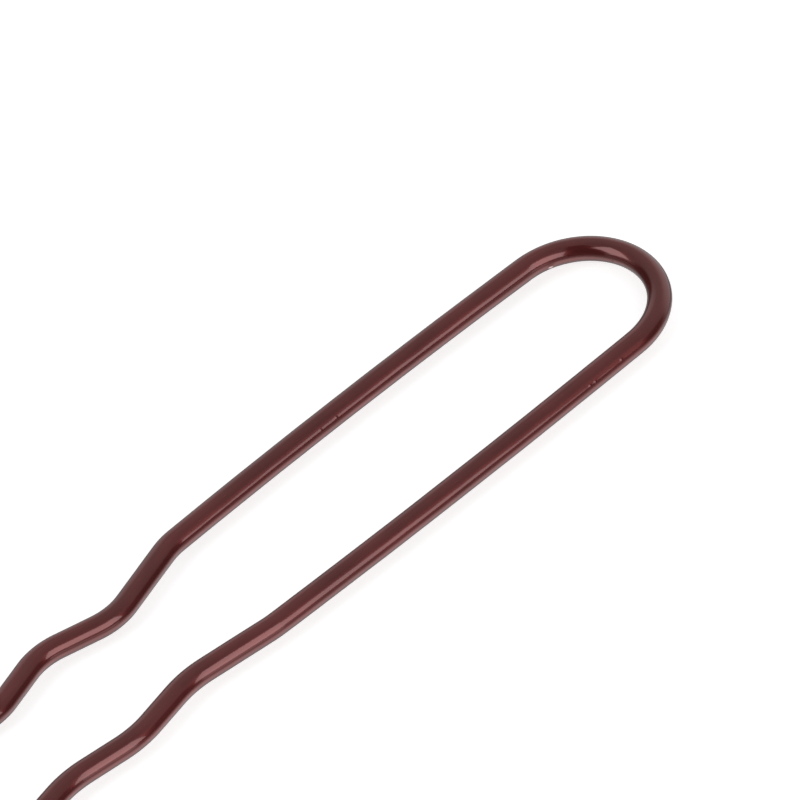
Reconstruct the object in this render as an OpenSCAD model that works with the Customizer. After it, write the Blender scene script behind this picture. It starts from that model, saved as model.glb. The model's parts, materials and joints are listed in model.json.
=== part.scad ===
// U-shaped wavy hair pin: one lacquered spring wire bent round a bow, with two crimped legs
// and a rounded bead on each tip. It lies flat: the bow points to +X, the legs run to -X,
// the left leg is on the +Y side, and the beads touch the plane z = 0.
// The real wire is one piece. Here it is opened at one turning axis on each leg, where a
// round leg end turns in a hollow bow end, so that both legs can spring apart and together.

/* [Wire] */
// Diameter of the bare steel wire
core_d = 1.3; // [1:0.05:1.6]
// Thickness of the lacquer film on the wire
film_t = 0.075; // [0.05:0.005:0.12]

/* [Bow] */
// Bend radius of the bow, to the middle of the wire
bow_r = 4.75; // [4:0.05:6.5]
// Angle by which each leg leaves the bow outwards, in degrees
splay = 1.4; // [0:0.1:2.5]

/* [Shanks] */
// Length of the left shank, from the bow to the first crimp
left_shank_l = 27.4; // [20:0.1:36]
// Length of the right shank, from the bow to the first crimp
right_shank_l = 28.2; // [20:0.1:36]
// Angle through which the left shank curves back inwards, in degrees
left_shank_turn = 3.2; // [1:0.1:5]
// Angle through which the right shank curves back inwards, in degrees
right_shank_turn = 2.6; // [1:0.1:5]

/* [Crimps] */
// Length of wire from the lead-in bend to the first crimp
lead_pitch = 6; // [5:0.1:8]
// Length of wire from one crimp to the next
crimp_pitch = 4.9; // [4:0.1:7]
// Length of wire that is curved in each crimp
crimp_l = 2.5; // [1.8:0.1:3.2]
// Number of crimps between the lead-in bend and the tail bend
crimp_count = 5; // [1:2:7]
// Angle turned by each crimp of the left leg, in degrees
left_crimp_turn = 33; // [20:0.5:36]
// Angle turned by each crimp of the right leg, in degrees
right_crimp_turn = 19.5; // [12:0.5:36]
// Angle by which the crimped stretch of the left leg leans inwards, in degrees
left_lean = 1; // [-3:0.1:2]
// Angle by which the crimped stretch of the right leg leans inwards, in degrees
right_lean = -2.8; // [-4:0.1:2]

/* [Tails] */
// Length of the straight wire between the left leg's last bend and its tip
left_tail_l = 11.4; // [6:0.1:16]
// Length of the straight wire between the right leg's last bend and its tip
right_tail_l = 9.6; // [6:0.1:16]
// Angle by which both tails point inwards, in degrees
tail_toe_in = 2; // [-1:0.1:4]

/* [Tip beads] */
// Diameter of the round end of a bead
bead_d = 2.1; // [1.9:0.05:2.8]
// Length of the bead's neck along the wire
bead_neck_l = 2.2; // [1.6:0.1:3]
// Thickness of the bead at the thin end of its neck
bead_lip_t = 0.05; // [0.03:0.01:0.1]
// Thickness of the bead at the thick end of its neck, inside its round end
bead_root_t = 0.22; // [0.18:0.01:0.28]

/* [Flexures] */
// Distance along the wire from the bow to the turning centre of a leg
flex_l = 2.2; // [1.8:0.1:3]
// Radius of a leg's round end about its turning axis
knuckle_r = 1.05; // [0.95:0.01:1.2]
// Clearance between a leg's round end and the hollow in the bow's end
knuckle_gap = 0.03; // [0.02:0.005:0.06]

/* [Hidden] */
$fn = 48;
// Facets round the wire, and round a full turn of a bend, where a mesh is drawn
wire_facets = 24;
bend_facets = 120;

// Diameter of the lacquered wire
wire_d = core_d + 2 * film_t;
// Height of the middle of the wire above the surface that the beads touch
wire_z = bead_d / 2;
// Angle of the bow's arc on each side of the centre line
bow_half_turn = 90 - splay;

// Colours of the bare steel, the lacquer and the beads
steel_colour = [0.66, 0.64, 0.62];
lacquer_colour = [0.36, 0.16, 0.15];
bead_colour = [0.30, 0.13, 0.12];

// A run is [length, turn in degrees]: an arc that turns inwards if its turn is positive,
// and a straight if its turn is 0. A pose is [x, y, heading].
// Straights and bend radii are whole micrometres.
function radians(a) = a * PI / 180;
function whole_um(v) = round(v * 1000) / 1000;
function run_radius(run) = whole_um(run[0] / radians(run[1]));
function pose_after(p, run) =
    run[1] == 0
        ? [p[0] + run[0] * cos(p[2]), p[1] + run[0] * sin(p[2]), p[2]]
        : let (r = run_radius(run), h = p[2] + run[1])
          [p[0] + r * (sin(h) - sin(p[2])), p[1] - r * (cos(h) - cos(p[2])), h];
function poses(p, runs, i = 0) =
    i == len(runs) ? [p] : concat([p], poses(pose_after(p, runs[i]), runs, i + 1));

// A bend turns to the nearest smaller cosine that is true in six digits together with its sine.
// That is within a few thousandths of a degree. What lies past the bend then keeps its exact
// size even where numbers are written with six digits, and so it meets the bend without a seam.
function true_cosine(c) =
    abs(c * c + pow(round(sqrt(1 - c * c) * 1e6) / 1e6, 2) - 1) < 4e-8 ? c : true_cosine(c - 1e-6);
function bend(length, turn) =
    [length, sign(turn) * acos(true_cosine(round(cos(turn) * 1e6) / 1e6))];
function straight(length) = [whole_um(length), 0];

// Inward heading of the flat before crimp number i, counted from 0
function flat_heading(crimp_turn, lean, i) = lean + (i % 2 == 0 ? 1 : -1) * crimp_turn / 2;

// An end bend turns on the same radius as the crimps
function end_bend(turn, crimp_turn) = bend(crimp_l * abs(turn) / crimp_turn, turn);

// Every run of one leg from its turning centre to its end. The last one is the tail.
function leg_runs(shank_l, shank_turn, crimp_turn, lean, tail_l) =
    let (
        lead = end_bend(flat_heading(crimp_turn, lean, 0) - (shank_turn - splay), crimp_turn),
        tail = end_bend(tail_toe_in - flat_heading(crimp_turn, lean, crimp_count), crimp_turn),
        flat = straight(crimp_pitch - crimp_l)
    )
    concat(
        [bend(shank_l - flex_l, shank_turn), lead, straight(lead_pitch - lead[0] / 2 - crimp_l / 2)],
        [for (i = [0 : crimp_count - 1])
            each [bend(crimp_l, (i % 2 == 0 ? -1 : 1) * crimp_turn), flat]],
        [tail, straight(tail_l)]
    );

left_runs =
    leg_runs(left_shank_l, left_shank_turn, left_crimp_turn, left_lean, left_tail_l);
right_runs =
    leg_runs(right_shank_l, right_shank_turn, right_crimp_turn, right_lean, right_tail_l);

// The bow is laid out from its apex outwards, and each leg from its turning centre to its tip,
// on the +Y side of the centre line. The right half is mirrored later.
bow_runs = [bend(radians(bow_half_turn) * bow_r, bow_half_turn), straight(flex_l)];
apex = [bow_r, 0, 90];
flex_pose = last(poses(apex, bow_runs));
left_poses = poses(flex_pose, left_runs);
right_poses = poses(flex_pose, right_runs);

// The box round the whole pin, seen from above, puts its middle at the origin. A run is
// furthest out where it heads straight along -X, or else at its end.
function last(list) = list[len(list) - 1];
function furthest_y(p, run) =
    let (turn = min(max(180 - p[2], 0), run[1]))
    turn > 0 ? pose_after(p, [run[0] * turn / run[1], turn])[1] : p[1];
function widest_y(leg_poses, runs) = max(
    wire_d / 2 + max([for (i = [0 : len(runs) - 1]) furthest_y(leg_poses[i], runs[i])]),
    bead_d / 2 + last(leg_poses)[1]
);
low_x = min(last(left_poses)[0], last(right_poses)[0]) - bead_d / 2;
high_x = bow_r + wire_d / 2;
high_y = widest_y(left_poses, left_runs);
low_y = -widest_y(right_poses, right_runs);
bow_centre = [-(low_x + high_x) / 2, -(low_y + high_y) / 2, wire_z];

// Moves children by v in whole micrometres first and then by the rest, which also stays exact
// where numbers are written with six digits
module translate_exactly(v) {
    coarse = [for (c = v) whole_um(c)];
    translate(coarse) translate(v - coarse) children();
}

// Moves children to the far end of one run that starts at the origin along +X
module after_run(run) {
    end = pose_after([0, 0, 0], run);
    translate_exactly([end[0], end[1], 0]) rotate(run[1]) children();
}

// Moves children to the far end of a list of runs
module after_runs(runs, i = 0) {
    if (i == len(runs)) children();
    else after_run(runs[i]) after_runs(runs, i + 1) children();
}

// Puts children at the bow's apex, heading towards the left shoulder, or the right one mirrored
module from_apex(right) {
    translate(bow_centre) mirror([0, right ? 1 : 0, 0])
        translate([apex[0], apex[1], 0]) rotate(apex[2]) children();
}

// Puts children at a leg's turning centre, and at its tip
module from_flexure(right) {
    from_apex(right) after_runs(bow_runs) children();
}
module from_tip(right) {
    from_flexure(right) after_runs(right ? right_runs : left_runs) children();
}

// Cross-section of the wire or of its film
module section_of(outer_d, inner_d) {
    difference() {
        circle(d = outer_d, $fn = wire_facets);
        if (inner_d > 0) circle(d = inner_d, $fn = wire_facets);
    }
}

// One run of wire or film, starting at the origin along +X. A bend is the stretch of a ring
// that lies ahead of the run's start and behind its end.
module run_solid(run, outer_d, inner_d) {
    if (run[1] == 0) {
        rotate([90, 0, 90]) linear_extrude(run[0]) section_of(outer_d, inner_d);
    } else {
        r = run_radius(run);
        reach = 2 * run[0] + wire_d;
        intersection() {
            translate([0, r, 0])
                rotate_extrude($fn = max(bend_facets, 8 * ceil(360 / abs(run[1]))))
                    translate([abs(r), 0]) section_of(outer_d, inner_d);
            translate([0, -reach, -wire_d]) cube([reach, 2 * reach, 2 * wire_d]);
            after_run(run) translate([-reach, -reach, -wire_d]) cube([reach, 2 * reach, 2 * wire_d]);
        }
    }
}

// The film on a tail, starting at the origin along +X and closed at its far end, where it lies
// between the steel and the bead
module closed_tail(length) {
    rotate([90, 0, 90]) difference() {
        linear_extrude(length + film_t) section_of(wire_d, 0);
        translate([0, 0, -wire_d]) linear_extrude(length + wire_d) section_of(core_d, 0);
    }
}

// Every run from run i on, each one placed at the end of the run before it
module chain_solid(runs, outer_d, inner_d, closed, i = 0) {
    if (closed && i == len(runs) - 1) closed_tail(runs[i][0]);
    else if (runs[i][0] > 0) run_solid(runs[i], outer_d, inner_d);
    if (i + 1 < len(runs)) after_run(runs[i]) chain_solid(runs, outer_d, inner_d, closed, i + 1);
}

// The bow in wire or film, with the hollow for a leg's round end in each end
module bow(outer_d, inner_d) {
    for (right = [false, true])
        difference() {
            from_apex(right) chain_solid(bow_runs, outer_d, inner_d, false);
            from_flexure(right)
                cylinder(r = knuckle_r + knuckle_gap, h = 2 * wire_d, center = true);
        }
}

// One leg of wire or film, with the round-ended stub that it turns on
module leg(right, outer_d, inner_d) {
    from_flexure(right) {
        intersection() {
            rotate([90, 0, -90]) linear_extrude(knuckle_r) section_of(outer_d, inner_d);
            cylinder(r = knuckle_r, h = 2 * wire_d, center = true);
        }
        chain_solid(right ? right_runs : left_runs, outer_d, inner_d, inner_d > 0);
    }
}

// A drop-shaped bead, drilled for the lacquered end of a leg
module tip_bead(right) {
    neck_d = wire_d + 2 * bead_lip_t;
    root_d = wire_d + 2 * bead_root_t;
    from_tip(right) rotate([0, 90, 0]) difference() {
        union() {
            sphere(d = bead_d);
            translate([0, 0, -bead_neck_l]) cylinder(d1 = neck_d, d2 = root_d, h = bead_neck_l);
        }
        translate([0, 0, -bead_neck_l]) cylinder(d = wire_d, h = bead_neck_l + film_t);
    }
}

module bow_wire() { color(steel_colour) bow(core_d, 0); }
module left_leg_wire() { color(steel_colour) leg(false, core_d, 0); }
module right_leg_wire() { color(steel_colour) leg(true, core_d, 0); }
module bow_lacquer() { color(lacquer_colour) bow(wire_d, core_d); }
module left_leg_lacquer() { color(lacquer_colour) leg(false, wire_d, core_d); }
module right_leg_lacquer() { color(lacquer_colour) leg(true, wire_d, core_d); }
module left_tip_bead() { color(bead_colour) tip_bead(false); }
module right_tip_bead() { color(bead_colour) tip_bead(true); }

bow_wire();
left_leg_wire();
right_leg_wire();
bow_lacquer();
left_leg_lacquer();
right_leg_lacquer();
left_tip_bead();
right_tip_bead();
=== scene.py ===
import json
from math import cos, pi, radians, sin

import bpy
import numpy as np
from bpy.props import FloatProperty, FloatVectorProperty, PointerProperty
from mathutils import Matrix, Vector


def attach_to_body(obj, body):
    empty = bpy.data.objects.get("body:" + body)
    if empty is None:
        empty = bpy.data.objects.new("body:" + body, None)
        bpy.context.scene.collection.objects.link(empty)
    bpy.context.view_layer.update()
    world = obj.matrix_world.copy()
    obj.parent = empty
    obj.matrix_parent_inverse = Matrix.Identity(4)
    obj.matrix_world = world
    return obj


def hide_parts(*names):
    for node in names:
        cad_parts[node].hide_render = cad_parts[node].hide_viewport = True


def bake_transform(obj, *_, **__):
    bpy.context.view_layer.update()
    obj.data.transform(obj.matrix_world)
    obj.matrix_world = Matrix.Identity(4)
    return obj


bl_info = {
    "name": "Wavy Hair Pin",
    "version": (1, 0, 0),
    "blender": (4, 5, 0),
    "location": "3D View > Sidebar > Hair Pin",
    "description": "Builds the lacquered wire, the tip beads and the studio round a wavy hair pin",
    "category": "Object",
}

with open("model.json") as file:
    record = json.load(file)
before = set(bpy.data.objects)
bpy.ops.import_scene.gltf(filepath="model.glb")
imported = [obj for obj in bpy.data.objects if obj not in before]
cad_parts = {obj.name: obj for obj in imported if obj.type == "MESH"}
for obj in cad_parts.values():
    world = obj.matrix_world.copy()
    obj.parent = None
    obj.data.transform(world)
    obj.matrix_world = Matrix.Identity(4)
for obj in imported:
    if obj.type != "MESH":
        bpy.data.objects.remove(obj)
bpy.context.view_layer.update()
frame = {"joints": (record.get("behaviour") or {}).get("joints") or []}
JOINT_PLACES = {joint["child"]: joint["pos_m"] for joint in frame["joints"]}

# Points round the wire, the step at which its line is summed, and how far that runs past each tip
AROUND = 96
STEP = 0.02e-3
RUN_OUT = 1e-3
# Distance between rings of points: on the hidden surfaces, and on the lacquer of bow and legs
HIDDEN_SPACING = 0.35e-3
BOW_SPACING = 0.07e-3
LEG_SPACING = 0.16e-3
# The steel's radius is this much less than its lacquer's bore, so that the surfaces stay apart
CORE_EASE = 1e-6
# A bead's round end is this share of its size, which leaves it just clear of the floor
BEAD_EASE = 0.997
CRIMPS = 5


def metres(default, name, description):
    return FloatProperty(name=name, description=description, default=default,
                         unit="LENGTH", subtype="DISTANCE", precision=5)


def angle(default, name, description):
    return FloatProperty(name=name, description=description, default=radians(default),
                         unit="ROTATION", subtype="ANGLE")


def colour(default, name, description):
    return FloatVectorProperty(name=name, description=description, default=default,
                               size=3, subtype="COLOR", min=0, max=1)


def share(default, name, description):
    return FloatProperty(name=name, description=description, default=default,
                         min=0, max=1, subtype="FACTOR")


def brightness(default, name, description):
    return FloatProperty(name=name, description=description, default=default, min=0)


class PinShape(bpy.types.PropertyGroup):
    core_diameter: metres(1.3e-3, "Core diameter", "Diameter of the bare steel wire")
    film_thickness: metres(0.075e-3, "Lacquer thickness", "Thickness of the lacquer on the wire")
    bow_radius: metres(4.75e-3, "Bow radius", "Bend radius of the bow, to the middle of the wire")
    splay: angle(1.4, "Splay", "Angle by which each leg leaves the bow outwards")
    flex_distance: metres(2.2e-3, "Flexure distance", "Wire from the bow to where a leg turns")
    flex_reach: metres(1.8e-3, "Flexure reach", "Wire that bends on each side of that place")
    bend_softness: metres(0.4e-3, "Bend softness", "Length over which a bend fades into a straight")
    left_shank: metres(27.4e-3, "Left shank", "Wire from the bow to the left leg's first bend")
    right_shank: metres(28.2e-3, "Right shank", "Wire from the bow to the right leg's first bend")
    left_shank_turn: angle(3.2, "Left shank turn", "Angle of the left shank's slow curve inwards")
    right_shank_turn: angle(2.6, "Right shank turn", "Angle of the right shank's slow curve inwards")
    lead_pitch: metres(6e-3, "Lead-in pitch", "Wire from the lead-in bend to the first crimp")
    crimp_pitch: metres(4.9e-3, "Crimp pitch", "Wire from one crimp to the next")
    crimp_length: metres(2.5e-3, "Crimp length", "Wire that is curved in each crimp")
    left_crimp: angle(33, "Left crimp turn", "Angle turned by each crimp of the left leg")
    right_crimp: angle(19.5, "Right crimp turn", "Angle turned by each crimp of the right leg")
    left_lean: angle(1, "Left lean", "Angle by which the left leg's crimps lean inwards")
    right_lean: angle(-2.8, "Right lean", "Angle by which the right leg's crimps lean inwards")
    left_tail: metres(11.4e-3, "Left tail", "Straight wire at the end of the left leg")
    right_tail: metres(9.6e-3, "Right tail", "Straight wire at the end of the right leg")
    toe_in: angle(2, "Toe-in", "Angle by which both tails point inwards")
    bead_diameter: metres(2.1e-3, "Bead diameter", "Diameter of a bead's round end")
    bead_neck: metres(2.2e-3, "Bead neck", "Length of a bead's neck along the wire")
    bead_lip: metres(0.05e-3, "Bead lip", "Thickness of the bead at the thin end of its neck")
    bead_root: metres(0.22e-3, "Bead root", "Thickness of the bead inside its round end")
    ripple: metres(0.004e-3, "Lacquer ripple", "Height of the slow waves in the lacquer")


class PinFinish(bpy.types.PropertyGroup):
    lacquer_deep: colour((0.127, 0.0246, 0.0230), "Lacquer, thick", "Tint where the lacquer is thick")
    lacquer_thin: colour((0.170, 0.0333, 0.0313), "Lacquer, thin", "Tint where the lacquer is thin")
    lacquer_metal: share(0.57, "Lacquer lustre", "How much of the bright wire shines through it")
    lacquer_roughness: share(0.26, "Lacquer roughness", "Roughness of what lies under the clear gloss")
    gloss_roughness: share(0.07, "Gloss roughness", "Roughness of the clear gloss on top")
    steel: colour((0.60, 0.58, 0.56), "Steel", "Colour of the drawn wire")
    resin: colour((0.100, 0.0150, 0.0135), "Tip resin", "Colour of the beads on the tips")


class StudioSettings(bpy.types.PropertyGroup):
    azimuth: angle(-33.394, "Azimuth", "The camera's place round the pin, from the front rightwards")
    elevation: angle(44.117, "Elevation", "Height of the camera above the floor, as an angle")
    roll: angle(-13.237, "Roll", "Turn of the camera about its own line of sight")
    aim: FloatVectorProperty(name="Aim", description="Point in the middle of the picture",
                             default=(0.0207551, 0.0032693, 0.00105), size=3,
                             unit="LENGTH", subtype="TRANSLATION", precision=5)
    distance: metres(1.64992, "Distance", "From the camera to the point in the middle of the picture")
    lens: FloatProperty(name="Lens", description="Focal length of the long lens, in millimetres",
                        default=1300, subtype="DISTANCE_CAMERA", min=1)
    front_box: brightness(2.0, "Front softbox", "Radiance of the large softbox in front")
    side_box: brightness(2.0, "Side softbox", "Radiance of the softbox beyond the tips")
    room: brightness(0.35, "Room", "Radiance of the plain room above the pin")
    floor: colour((0.80, 0.80, 0.80), "Floor", "Colour of the floor")
    floor_white: brightness(0.66, "Floor white", "Brightness the camera sees on top of the floor's own")


class Signal:
    """A number or colour that flows out of a node, and takes part in Python's arithmetic."""

    def __init__(self, nodes, socket):
        self.nodes, self.socket = nodes, socket

    def calculate(self, operation, first, second):
        return self.nodes.add("ShaderNodeMath", {"operation": operation}, {0: first, 1: second})

    def __add__(self, other): return self.calculate("ADD", self, other)
    def __radd__(self, other): return self.calculate("ADD", other, self)
    def __sub__(self, other): return self.calculate("SUBTRACT", self, other)
    def __rsub__(self, other): return self.calculate("SUBTRACT", other, self)
    def __mul__(self, other): return self.calculate("MULTIPLY", self, other)
    def __rmul__(self, other): return self.calculate("MULTIPLY", other, self)
    def between(self, low, high):
        """0 at low and less, 1 at high and more, with a smooth rise. High may be the lower one."""
        if low > high:
            return 1 - self.between(high, low)
        return self.nodes.add("ShaderNodeMapRange", {"interpolation_type": "SMOOTHSTEP"},
                              {"Value": self, "From Min": low, "From Max": high})

    def mix(self, first, second):
        """The first colour where this is 0, and the second where it is 1."""
        return self.nodes.add("ShaderNodeMix", {"data_type": "RGBA"},
                              {"Factor": self, 6: first, 7: second}, output=2)

    def stretched(self, along, across):
        """A place multiplied by one number along the wire and another across it."""
        return self.nodes.add("ShaderNodeVectorMath", {"operation": "MULTIPLY"},
                              {0: self, 1: (along, across, across)})


class Nodes:
    """The nodes of one material or world."""

    def __init__(self, owner):
        owner.use_nodes = True
        self.tree = owner.node_tree
        self.tree.nodes.clear()

    def add(self, kind, settings=None, sockets=None, output=0):
        """Makes a node, applies its settings, fills its sockets with values or links, and
        returns one output."""
        node = self.tree.nodes.new(kind)
        for name, value in (settings or {}).items():
            setattr(node, name, value)
        for name, value in (sockets or {}).items():
            if isinstance(value, Signal):
                self.tree.links.new(value.socket, node.inputs[name])
            elif node.inputs[name].type == "RGBA":
                node.inputs[name].default_value = (*value, 1)
            else:
                node.inputs[name].default_value = value
        return Signal(self, node.outputs[output]) if len(node.outputs) else None

    def noise(self, place, detail, roughness):
        """Noise whose clouds are about one unit of the place in size."""
        return self.add("ShaderNodeTexNoise", None, {
            "Vector": place, "Scale": 1.0, "Detail": detail, "Roughness": roughness}, output="Fac")

    def straight_wire(self):
        """The place as if the wire were straight: along it, inwards and up, in metres."""
        return self.add("ShaderNodeAttribute", {"attribute_name": "straight_wire"}, output="Vector")


def leg_runs(shape, side):
    """Every run of wire from the bow's top to one tip, each as (length, turn inwards).
    The crimps turn out and in by the same angle. The bends before and after them turn on the
    same radius as the crimps, by as much as brings the wire to its next heading."""
    shank = getattr(shape, side + "_shank")
    shank_turn = getattr(shape, side + "_shank_turn")
    crimp = getattr(shape, side + "_crimp")
    lean = getattr(shape, side + "_lean")
    tail = getattr(shape, side + "_tail")
    half_turn = pi / 2 - shape.splay
    lead_turn = lean + crimp / 2 - shank_turn + shape.splay
    lead_length = shape.crimp_length * abs(lead_turn) / crimp
    last_turn = shape.toe_in - (lean - crimp / 2)
    last_length = shape.crimp_length * abs(last_turn) / crimp
    runs = [
        (half_turn * shape.bow_radius, half_turn),
        (shape.flex_distance, 0),
        (shank - shape.flex_distance, shank_turn),
        (lead_length, lead_turn),
        (shape.lead_pitch - lead_length / 2 - shape.crimp_length / 2, 0),
    ]
    for i in range(CRIMPS):
        runs += [(shape.crimp_length, crimp if i % 2 else -crimp),
                 (shape.crimp_pitch - shape.crimp_length, 0)]
    return runs + [(last_length, last_turn), (tail, 0)]


class WireLine:
    """The middle of the wire from the right tip, where distance is lowest, over the bow's top,
    where it is 0, to the left tip. The heading turns evenly along each run, and is averaged
    over the bend softness. The place is the running sum of the heading's cosine and sine."""

    def __init__(self, shape):
        right, left = leg_runs(shape, "right")[::-1], leg_runs(shape, "left")
        lengths, turns = zip(*right, *left)
        self.low, self.high = -sum(run[0] for run in right), sum(run[0] for run in left)
        ends = self.low + np.concatenate([[0], np.cumsum(lengths)])
        turned = np.concatenate([[0], np.cumsum(turns)])
        self.distance = np.arange(self.low - RUN_OUT, self.high + RUN_OUT, STEP)
        width = 2 * round(shape.bend_softness / STEP / 2) + 1
        window = np.hanning(width + 2)[1:-1]
        padded = np.pad(np.interp(self.distance, ends, turned), width, mode="edge")
        heading = np.convolve(padded, window / window.sum(), mode="same")[width:-width]
        heading += pi / 2 - np.interp(0, self.distance, heading)
        x = self.running_sum(np.cos(heading)) + shape.bow_radius
        y = self.running_sum(np.sin(heading))
        self.heading = heading
        self.flex = shape.flex_distance + (pi / 2 - shape.splay) * shape.bow_radius
        middle = (np.array(JOINT_PLACES["left_leg"]) + np.array(JOINT_PLACES["right_leg"])) / 2
        self.x = x + middle[0] - np.interp(self.flex, self.distance, x)
        self.y = y + middle[1]
        self.height = middle[2]

    def running_sum(self, slope):
        """The sum of slope times step from the bow's top to each place."""
        total = np.concatenate([[0], np.cumsum((slope[1:] + slope[:-1]) / 2 * STEP)])
        return total - np.interp(0, self.distance, total)

    def at(self, distance):
        """Places on the line, and the directions ahead and inwards there, for an array of distances."""
        distance = np.asarray(distance, float)
        heading = np.interp(distance, self.distance, self.heading)
        level = np.zeros_like(heading)
        place = np.stack([np.interp(distance, self.distance, self.x),
                          np.interp(distance, self.distance, self.y), level + self.height], -1)
        ahead = np.stack([np.cos(heading), np.sin(heading), level], -1)
        inwards = np.stack([-np.sin(heading), np.cos(heading), level], -1)
        return place, ahead, inwards


# Slow waves in the lacquer: length along the wire, waves round it, and share of the ripple's height
WAVES = (
    (9e-3, 1, 0.5),
    (5.5e-3, 2, 0.32),
    (3.4e-3, 2, 0.22),
    (2.6e-3, 3, 0.14),
    (2.1e-3, 1, 0.12),
)
# The lacquer is plain this far from each tip, and its relief rises over the next stretch
PLAIN_END = 3e-3
RELIEF_RISE = 1e-3
# A drop and specks that dried in the lacquer: distance from the bow's top in millimetres, angle
# round the wire from its inner side in degrees, and height, length and width in millimetres
SPECKS = (
    (5.80, 343, 0.045, 0.20, 0.11),
    (1.44, 350, 0.020, 0.06, 0.05),
    (1.08, 80, 0.012, 0.05, 0.04),
    (-8.98, 150, 0.012, 0.05, 0.04),
    (-11.11, 156, 0.010, 0.05, 0.04),
    (-11.53, 154, 0.010, 0.05, 0.04),
    (-13.27, 196, 0.016, 0.06, 0.05),
    (22.44, 30, 0.012, 0.05, 0.04),
    (23.68, 27, 0.009, 0.06, 0.04),
    (12.79, 94, 0.012, 0.05, 0.04),
)
# How many of its lengths the closer rings of points reach from a speck's middle, how many of them
# there are to a length, and the least distance that they keep from the ends
SPECK_REACH = 3.2
SPECK_RINGS = 3
RING_GAP = 1e-5
# The painted highlight on the drop, a pale patch in the lacquer's tint that stands in for the drop's
# reflection: its place along the wire, inwards and up, the stretch along and across the wire that makes
# it round, and its colour
PAINTED_HIGHLIGHT_PLACE = (5.84e-3, 0.71e-3, -0.16e-3)
PAINTED_HIGHLIGHT_STRETCH = (5500, 14000)
PAINTED_HIGHLIGHT_COLOUR = (0.62, 0.46, 0.47)


def lacquer_relief(shape, distance, turn):
    """Height of the lacquer above its plain surface, for a column of distances and a row of
    angles round the wire. Slow sine waves run along and round the wire, and each speck adds a
    bell curve."""
    chance = np.random.default_rng(7)
    height = np.zeros(np.broadcast(distance, turn).shape)
    for length, rounds, part in WAVES:
        phase = chance.uniform(0, 2 * pi, 2)
        height += (shape.ripple * part
                   * np.sin(2 * pi * distance / length + phase[0]) * np.cos(rounds * turn + phase[1]))
    radius = shape.core_diameter / 2 + shape.film_thickness
    for place, degrees, bump, length, width in SPECKS:
        off = np.angle(np.exp(1j * (turn - radians(degrees)))) * radius
        height += bump * 1e-3 * np.exp(-((distance - place * 1e-3) / (length * 1e-3)) ** 2 / 2
                                       - (off / (width * 1e-3)) ** 2 / 2)
    return height


def sample(low, high, spacing, specks=False):
    """Distances from low to high, evenly spaced, with closer ones across each speck."""
    count = max(2, int(np.ceil((high - low) / spacing)) + 1)
    places = np.linspace(low, high, count)
    if not specks:
        return places
    for place, _, _, length, _ in SPECKS:
        reach = SPECK_REACH * length * 1e-3
        close = place * 1e-3 + np.arange(-reach, reach, length * 1e-3 / SPECK_RINGS)
        close = close[(close > low + RING_GAP) & (close < high - RING_GAP)]
        if len(close):
            places = places[(places < close[0] - 2 * RING_GAP) | (places > close[-1] + 2 * RING_GAP)]
            places = np.sort(np.concatenate([places, close]))
    return places


def wire_surface(name, line, profile, loop):
    """Carries a profile along the wire's line. The profile is a list of rows of (distance,
    radius round the wire), each a ring of points: place = line + radius x (cos x inwards +
    sin x up). A row with no radius is a pole. The rows go up the outside and down the inside,
    and a looped profile joins its last row to its first."""
    turn = np.arange(AROUND) * 2 * pi / AROUND
    distance = np.concatenate([d for d, _ in profile])
    radius = np.concatenate([np.zeros((len(d), AROUND)) + r for d, r in profile])
    place, _, inwards = line.at(distance)
    across, height = radius * np.cos(turn), radius * np.sin(turn)
    points = (place[:, None] + across[..., None] * inwards[:, None]
              + height[..., None] * np.array([0, 0, 1.0]))
    straight = np.stack([np.broadcast_to(distance[:, None], across.shape), across, height], -1)
    rows = len(distance)
    number = np.arange(rows * AROUND).reshape(rows, AROUND)
    pole = radius.max(1) <= 0
    number[pole] = number[pole][:, :1]
    following = np.roll(number, -1, 0) if loop else number[1:]
    here = number if loop else number[:-1]
    quads = np.stack([here, np.roll(here, -1, 1), np.roll(following, -1, 1), following], -1)
    quads = quads.reshape(-1, 4)
    starts, ends = quads[:, 0] == quads[:, 1], quads[:, 2] == quads[:, 3]
    corners = [quads[~starts & ~ends], quads[starts][:, [0, 2, 3]], quads[ends][:, [0, 1, 2]]]
    used, compact = np.unique(np.concatenate([c.ravel() for c in corners]), return_inverse=True)
    sizes = [c.size for c in corners]
    pieces = np.split(compact, np.cumsum(sizes)[:-1])
    faces = [f for c, flat in zip(corners, pieces) if len(c) for f in flat.reshape(c.shape).tolist()]
    mesh = bpy.data.meshes.new(name)
    mesh.from_pydata(points.reshape(-1, 3)[used].tolist(), [], faces)
    mesh.attributes.new("straight_wire", "FLOAT_VECTOR", "POINT").data.foreach_set(
        "vector", straight.reshape(-1, 3)[used].astype(np.float32).ravel())
    mesh.polygons.foreach_set("use_smooth", np.ones(len(mesh.polygons), bool))
    mesh.set_sharp_from_angle(angle=radians(40))
    mesh.validate()
    piece = bpy.data.objects.new(name, mesh)
    bpy.context.scene.collection.objects.link(piece)
    return piece


def stretches(shape, line):
    """The three lengths of wire, as (body, lowest distance, highest distance, closed end). The
    closed end is 1 at the highest distance, -1 at the lowest, and 0 where there is none."""
    seam = line.flex - shape.flex_reach
    return (("bow", -seam, seam, 0),
            ("left_leg", seam, line.high, 1),
            ("right_leg", line.low, -seam, -1))


def attach(piece, shape, line, body):
    """Lets the bow's length of wire ride on its body. A leg's length of wire keeps the place
    it was built in, baked into its points."""
    if body == "bow":
        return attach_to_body(piece, body)
    side = 1 if body == "left_leg" else -1
    place, ahead, _ = line.at(np.array([side * line.flex]))
    reach = side * shape.flex_reach * ahead[0]
    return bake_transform(piece, "bow", body, start=tuple(place[0] - reach), end=tuple(place[0] + reach))


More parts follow.
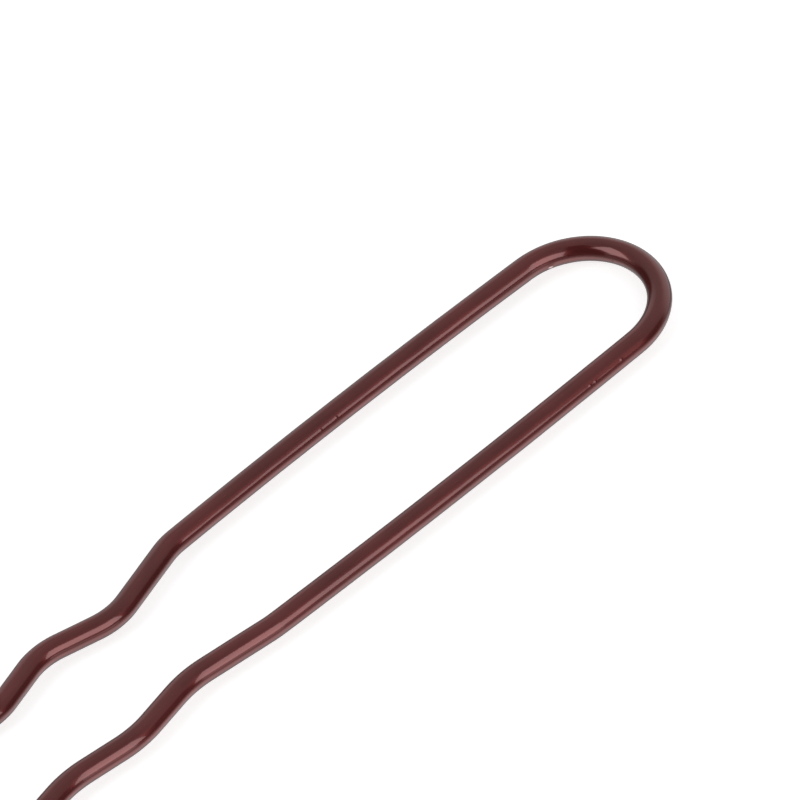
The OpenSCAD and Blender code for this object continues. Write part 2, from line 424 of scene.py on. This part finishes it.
def lacquer_material(finish):
    """Clear gloss over a dark red tint that lets the bright wire shine through. Clouds a few
    millimetres long vary the tint, and fine lines along the wire vary its roughness and bump."""
    material = bpy.data.materials.new("brown_lacquer")
    nodes = Nodes(material)
    place = nodes.straight_wire()
    clouds = nodes.noise(place.stretched(along=260, across=700), detail=3.0, roughness=0.55)
    lines = nodes.noise(place.stretched(along=350, across=9000), detail=3.0, roughness=0.6)
    peel = nodes.noise(place.stretched(along=2600, across=3200), detail=2.0, roughness=0.5)
    thin = clouds.between(0.32, 0.70) * 0.75 + lines.between(0.35, 0.75) * 0.25
    tint = thin.mix(tuple(finish.lacquer_deep), tuple(finish.lacquer_thin))
    # Painted highlight: a pale round patch mixed into the tint on the drop, in place of its reflection
    along, across = PAINTED_HIGHLIGHT_STRETCH
    painted_highlight = (PAINTED_HIGHLIGHT_PLACE[0] * along, PAINTED_HIGHLIGHT_PLACE[1] * across, PAINTED_HIGHLIGHT_PLACE[2] * across)
    off_painted_highlight = nodes.add("ShaderNodeVectorMath", {"operation": "DISTANCE"},
                          {0: place.stretched(along, across), 1: painted_highlight}, output="Value")
    tint = off_painted_highlight.between(1.3, 0.6).mix(tint, PAINTED_HIGHLIGHT_COLOUR)
    roughness = finish.lacquer_roughness - 0.05 + lines * 0.07 + peel * 0.03
    bump = nodes.add("ShaderNodeBump", None, {
        "Strength": 0.35, "Distance": 4e-6, "Height": lines * 0.6 + peel * 0.4})
    shader = nodes.add("ShaderNodeBsdfPrincipled", None, {
        "Base Color": tint, "Metallic": finish.lacquer_metal, "Roughness": roughness,
        "Specular IOR Level": 0.0, "Specular Tint": (0.30, 0.10, 0.09),
        "Coat Weight": 1.0, "Coat Roughness": finish.gloss_roughness, "Coat IOR": 1.5,
        "Normal": bump})
    nodes.add("ShaderNodeOutputMaterial", None, {"Surface": shader})
    return material


def steel_material(finish):
    """Bright drawn steel, with die lines that run along the wire."""
    material = bpy.data.materials.new("spring_steel")
    nodes = Nodes(material)
    place = nodes.straight_wire()
    lines = nodes.noise(place.stretched(along=180, across=14000), detail=4.0, roughness=0.6)
    clouds = nodes.noise(place.stretched(along=300, across=900), detail=2.0, roughness=0.5)
    dull = tuple(c * 0.78 for c in finish.steel)
    bright = tuple(min(1, c * 1.18) for c in finish.steel)
    tint = (lines * 0.6 + clouds * 0.4).mix(dull, bright)
    bump = nodes.add("ShaderNodeBump", None, {"Strength": 0.5, "Distance": 3e-6, "Height": lines})
    shader = nodes.add("ShaderNodeBsdfPrincipled", None, {
        "Base Color": tint, "Metallic": 1.0, "Roughness": 0.22 + lines * 0.2, "Normal": bump})
    nodes.add("ShaderNodeOutputMaterial", None, {"Surface": shader})
    return material


def resin_material(finish):
    """Dark red-brown resin, dipped and cured: smooth, with faint clouds and a slight peel."""
    material = bpy.data.materials.new("tip_resin")
    nodes = Nodes(material)
    place = nodes.straight_wire()
    clouds = nodes.noise(place.stretched(along=900, across=900), detail=3.0, roughness=0.5)
    peel = nodes.noise(place.stretched(along=3000, across=3000), detail=2.0, roughness=0.5)
    darker = tuple(c * 0.8 for c in finish.resin)
    paler = tuple(c * 1.2 for c in finish.resin)
    tint = clouds.between(0.3, 0.7).mix(darker, paler)
    bump = nodes.add("ShaderNodeBump", None, {"Strength": 0.3, "Distance": 6e-6, "Height": peel})
    shader = nodes.add("ShaderNodeBsdfPrincipled", None, {
        "Base Color": tint, "Metallic": 0.40, "Roughness": 0.28 + peel * 0.08,
        "Specular IOR Level": 0.1, "Coat Weight": 1.0, "Coat Roughness": 0.06, "Coat IOR": 1.5,
        "Normal": bump})
    nodes.add("ShaderNodeOutputMaterial", None, {"Surface": shader})
    return material


def bead_outline(shape):
    """Distance past the tip and radius along a bead's outside, from the lip of its neck to the
    far end of its round end. The neck is a cone, rounded off at the lip and drawn in towards
    the round end, and the round end is a circle. Before the tip the radius is the root of the
    sum of their high powers, a soft larger of the two, and past it the circle stands alone."""
    neck_end, neck_rings, globe_rings = 0.6, 34, 44
    lip_round, drawn_in, draw_length, power = 0.06e-3, 0.3, 0.8, 14
    bore = shape.core_diameter / 2 + shape.film_thickness
    ball = shape.bead_diameter / 2 * BEAD_EASE
    past = np.concatenate([np.linspace(-shape.bead_neck, -neck_end * ball, neck_rings)[:-1],
                           -ball * np.cos(np.linspace(np.arccos(neck_end), pi, globe_rings))])
    neck = shape.bead_lip + (shape.bead_root - shape.bead_lip) * (1 + past / shape.bead_neck)
    neck *= 1 - np.exp(-(past + shape.bead_neck) / lip_round)
    neck = (bore + neck) * (1 - drawn_in * np.clip(past / (draw_length * ball) + 1, 0, 1) ** 2)
    globe = np.sqrt(np.clip(ball ** 2 - past ** 2, 0, None))
    outer = np.where(past < 0, (neck ** power + globe ** power) ** (1 / power), globe)
    outer[-1] = 0
    return past, outer


def pin_settings(context):
    """The groups of settings that the scene holds: shape, finish and studio."""
    scene = context.scene
    return scene.hair_pin_shape, scene.hair_pin_finish, scene.hair_pin_studio


class HAIRPIN_OT_steel_core(bpy.types.Operator):
    """Build the bare spring wire inside the lacquer: the bow and both legs"""

    bl_idname = "hairpin.steel_core"
    bl_label = "Steel Core"
    bl_options = {"REGISTER", "UNDO"}

    def execute(self, context):
        shape, finish, _ = pin_settings(context)
        line, material = WireLine(shape), steel_material(finish)
        radius = shape.core_diameter / 2 - CORE_EASE
        for body, low, high, _ in stretches(shape, line):
            along = sample(low, high, HIDDEN_SPACING)
            profile = [([low], 0.0), (along, radius), ([high], 0.0)]
            piece = wire_surface(body + "_steel_core", line, profile, loop=False)
            piece.data.materials.append(material)
            attach(piece, shape, line, body)
            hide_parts(body + "_wire")
        return {"FINISHED"}


class HAIRPIN_OT_lacquer_skin(bpy.types.Operator):
    """Build the lacquer on the bow and on both legs, with its ripples, drop and specks"""

    bl_idname = "hairpin.lacquer_skin"
    bl_label = "Lacquer Skin"
    bl_options = {"REGISTER", "UNDO"}

    def execute(self, context):
        shape, finish, _ = pin_settings(context)
        line, material = WireLine(shape), lacquer_material(finish)
        turn = np.arange(AROUND)[None] * 2 * pi / AROUND
        inner = shape.core_diameter / 2
        for body, low, high, closed in stretches(shape, line):
            spacing = BOW_SPACING if body == "bow" else LEG_SPACING
            inside = sample(low, high, HIDDEN_SPACING)[::-1]
            top = high + shape.film_thickness * (closed > 0)
            bottom = low - shape.film_thickness * (closed < 0)
            outside = sample(bottom, top, spacing, specks=True)
            fade = (np.clip((line.high - PLAIN_END - outside) / RELIEF_RISE, 0, 1)
                    * np.clip((outside - line.low - PLAIN_END) / RELIEF_RISE, 0, 1))[:, None]
            outer = inner + shape.film_thickness + fade * lacquer_relief(shape, outside[:, None], turn)
            profile = [(outside, outer), (inside, inner)]
            if closed > 0:
                profile = [([high], 0.0), (inside, inner), (outside, outer), ([top], 0.0)]
            if closed < 0:
                profile = [([bottom], 0.0), (outside, outer), (inside, inner), ([low], 0.0)]
            piece = wire_surface(body + "_lacquer_skin", line, profile, loop=not closed)
            piece.data.materials.append(material)
            attach(piece, shape, line, body)
            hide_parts(body + "_lacquer")
        return {"FINISHED"}


class HAIRPIN_OT_tip_beads(bpy.types.Operator):
    """Build the drop-shaped bead on each tip"""

    bl_idname = "hairpin.tip_beads"
    bl_label = "Tip Beads"
    bl_options = {"REGISTER", "UNDO"}

    def execute(self, context):
        shape, finish, _ = pin_settings(context)
        line, material = WireLine(shape), resin_material(finish)
        bore, bore_rings = shape.core_diameter / 2 + shape.film_thickness, 24
        past, outer = bead_outline(shape)
        for side, tip, way in (("left", line.high, 1), ("right", line.low, -1)):
            outside = tip + way * past
            inside = tip + way * np.linspace(shape.film_thickness, -shape.bead_neck, bore_rings)
            floor_of_bore = ([inside[0]], 0.0)
            if way > 0:
                profile = [floor_of_bore, (inside, bore), (outside[1:], outer[1:, None])]
            else:
                profile = [(outside[:0:-1], outer[:0:-1, None]), (inside[::-1], bore), floor_of_bore]
            piece = wire_surface(side + "_bead", line, profile, loop=False)
            piece.data.materials.append(material)
            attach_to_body(piece, side + "_leg")
            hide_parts(side + "_tip_bead")
        return {"FINISHED"}


class HAIRPIN_OT_studio(bpy.types.Operator):
    """Set up the white floor, the room, the softboxes and the camera"""

    bl_idname = "hairpin.studio"
    bl_label = "Studio"
    bl_options = {"REGISTER", "UNDO"}

    def execute(self, context):
        _, _, studio = pin_settings(context)
        self.floor(studio)
        self.room(studio)
        self.softbox("front_softbox", studio.front_box, azimuth=-0.7, elevation=25.6, distance=0.668,
                     back_azimuth=-3.7, back_elevation=2.8, roll=5.5, width=0.638, height=0.605)
        self.softbox("side_softbox", studio.side_box, azimuth=-108, elevation=36, distance=0.6,
                     back_azimuth=-108, back_elevation=36, roll=-14, width=0.36, height=0.53)
        self.camera(studio)
        bpy.context.scene.view_settings.view_transform = "Standard"
        return {"FINISHED"}

    def direction(self, azimuth, elevation):
        """The direction at an azimuth from the front towards the right, and an elevation, in
        radians."""
        return Vector((sin(azimuth) * cos(elevation), -cos(azimuth) * cos(elevation), sin(elevation)))

    def floor(self, studio):
        """A flat grid of squares, just under the beads. Reflections see the white lower half of
        the room in its place."""
        reach, count = 4.0, 9
        side = np.linspace(-reach, reach, count)
        points = np.stack(np.meshgrid(side, side, [0.0], indexing="ij"), -1).reshape(-1, 3)
        number = np.arange(count * count).reshape(count, count)
        quads = np.stack([number[:-1, :-1], number[1:, :-1], number[1:, 1:], number[:-1, 1:]], -1)
        mesh = bpy.data.meshes.new("floor")
        mesh.from_pydata(points.tolist(), [], quads.reshape(-1, 4).tolist())
        floor = bpy.data.objects.new("floor", mesh)
        bpy.context.scene.collection.objects.link(floor)
        material = bpy.data.materials.new("floor_paper")
        nodes = Nodes(material)
        paper = nodes.add("ShaderNodeBsdfDiffuse", None, {"Color": tuple(studio.floor)})
        seen = nodes.add("ShaderNodeLightPath", output="Is Camera Ray")
        glow = nodes.add("ShaderNodeEmission", None,
                         {"Color": (1, 1, 1), "Strength": seen * studio.floor_white})
        both = nodes.add("ShaderNodeAddShader", None, {0: paper, 1: glow})
        nodes.add("ShaderNodeOutputMaterial", None, {"Surface": both})
        mesh.materials.append(material)
        floor.visible_glossy = False

    def room(self, studio):
        """A plain grey room, paler on its right and at its back, with a dark corner in front, a
        dark doorway behind and a dark gap between the softboxes. A pale screen in front is cut
        off on its right. Below the horizon is a white table, palest about 50 degrees down."""
        world = bpy.data.worlds.new("room")
        bpy.context.scene.world = world
        nodes = Nodes(world)
        way = nodes.add("ShaderNodeTexCoord", output="Generated")

        def facing(azimuth, elevation):
            """The cosine of the angle to a direction, which is given in degrees."""
            return nodes.add("ShaderNodeVectorMath", {"operation": "DOT_PRODUCT"}, {
                0: way, 1: tuple(self.direction(radians(azimuth), radians(elevation)))}, output="Value")

        def patch(azimuth, elevation, outer, inner):
            """1 within the inner angle of a direction, and 0 beyond the outer one."""
            return facing(azimuth, elevation).between(cos(radians(outer)), cos(radians(inner)))

        up = facing(0, 90)
        gap = (facing(-124, 0).between(-0.02, 0.06) * facing(0, 0).between(-0.02, 0.06)
               * up.between(-0.3, -0.15) * up.between(0.999, 0.95))
        far_side = patch(azimuth=130, elevation=20, outer=80, inner=20)
        right_side = patch(azimuth=108, elevation=-4, outer=50, inner=12)
        back = patch(azimuth=157, elevation=15, outer=28, inner=8)
        corner = patch(azimuth=43, elevation=0, outer=28, inner=12)
        doorway = patch(azimuth=-158, elevation=2, outer=32, inner=14)
        screen = patch(azimuth=11, elevation=-9, outer=26, inner=10)
        above = studio.room + far_side * 0.16 + right_side * 0.55 + back * 0.32
        above = above * (1 - corner * 0.85) * (1 - doorway * 0.9) * (1 - gap * 0.97)
        above = above + screen * facing(-69, 0).between(-0.03, 0.03) * 0.62
        table_front = patch(azimuth=20, elevation=-50, outer=75, inner=25)
        table_back = patch(azimuth=146, elevation=-44, outer=60, inner=25)
        table = (up.between(-0.30, -0.50) * 0.75 + up.between(-0.45, -0.72) * 0.85
                 - up.between(-0.80, -0.95) * 0.45)
        table = table * (0.82 + table_front * 0.25) * (1 - table_back * 0.5)
        level = above * (1 - up.between(-0.28, -0.44)) + table
        light = nodes.add("ShaderNodeBackground", None, {"Color": (1, 1, 1), "Strength": level})
        nodes.add("ShaderNodeOutputWorld", None, {"Surface": light})

    def softbox(self, name, radiance, azimuth, elevation, distance, back_azimuth, back_elevation,
                roll, width, height):
        """A rectangular lamp. Its power is radiance x area x pi. Its azimuth and elevation from
        the pin, the ones that its back faces and its roll are in degrees."""
        lamp = bpy.data.lights.new(name, "AREA")
        lamp.shape, lamp.size, lamp.size_y = "RECTANGLE", width, height
        lamp.energy = radiance * width * height * pi
        box = bpy.data.objects.new(name, lamp)
        bpy.context.scene.collection.objects.link(box)
        place = self.direction(radians(azimuth), radians(elevation)) * distance
        box.matrix_world = self.facing_frame(
            radians(back_azimuth), radians(back_elevation), radians(roll), place)
        box.visible_camera = False

    def facing_frame(self, azimuth, elevation, roll, place):
        """A frame at a place whose back points along a direction, turned about it by the roll."""
        back = self.direction(azimuth, elevation)
        right = Vector((cos(azimuth), sin(azimuth), 0))
        up = back.cross(right)
        across = right * cos(roll) + up * sin(roll)
        upright = up * cos(roll) - right * sin(roll)
        return Matrix(((across.x, upright.x, back.x, place.x),
                       (across.y, upright.y, back.y, place.y),
                       (across.z, upright.z, back.z, place.z),
                       (0, 0, 0, 1)))

    def camera(self, studio):
        """A very long lens, turned about its line of sight."""
        data = bpy.data.cameras.new("camera")
        data.lens, data.sensor_width = studio.lens, 36
        data.clip_start, data.clip_end = 0.1, 20
        camera = bpy.data.objects.new("camera", data)
        bpy.context.scene.collection.objects.link(camera)
        place = Vector(studio.aim) + self.direction(studio.azimuth, studio.elevation) * studio.distance
        camera.matrix_world = self.facing_frame(studio.azimuth, studio.elevation, studio.roll, place)
        bpy.context.scene.camera = camera


class HAIRPIN_PT_panel(bpy.types.Panel):
    """Lists the pin's sizes, finishes and build steps"""

    bl_idname = "HAIRPIN_PT_panel"
    bl_label = "Hair Pin"
    bl_space_type = "VIEW_3D"
    bl_region_type = "UI"
    bl_category = "Hair Pin"

    def draw(self, context):
        for operator in OPERATORS:
            self.layout.operator(operator.bl_idname)
        for group in pin_settings(context):
            box = self.layout.box()
            for name in group.__annotations__:
                box.prop(group, name)


OPERATORS = (HAIRPIN_OT_studio, HAIRPIN_OT_steel_core, HAIRPIN_OT_lacquer_skin, HAIRPIN_OT_tip_beads)
CLASSES = (PinShape, PinFinish, StudioSettings, *OPERATORS, HAIRPIN_PT_panel)


def register():
    for cls in CLASSES:
        bpy.utils.register_class(cls)
    bpy.types.Scene.hair_pin_shape = PointerProperty(type=PinShape)
    bpy.types.Scene.hair_pin_finish = PointerProperty(type=PinFinish)
    bpy.types.Scene.hair_pin_studio = PointerProperty(type=StudioSettings)


def unregister():
    del bpy.types.Scene.hair_pin_studio
    del bpy.types.Scene.hair_pin_finish
    del bpy.types.Scene.hair_pin_shape
    for cls in reversed(CLASSES):
        bpy.utils.unregister_class(cls)


def main():
    register()
    bpy.ops.hairpin.studio()
    bpy.ops.hairpin.steel_core()
    bpy.ops.hairpin.lacquer_skin()
    bpy.ops.hairpin.tip_beads()


if __name__ == "__main__":
    main()
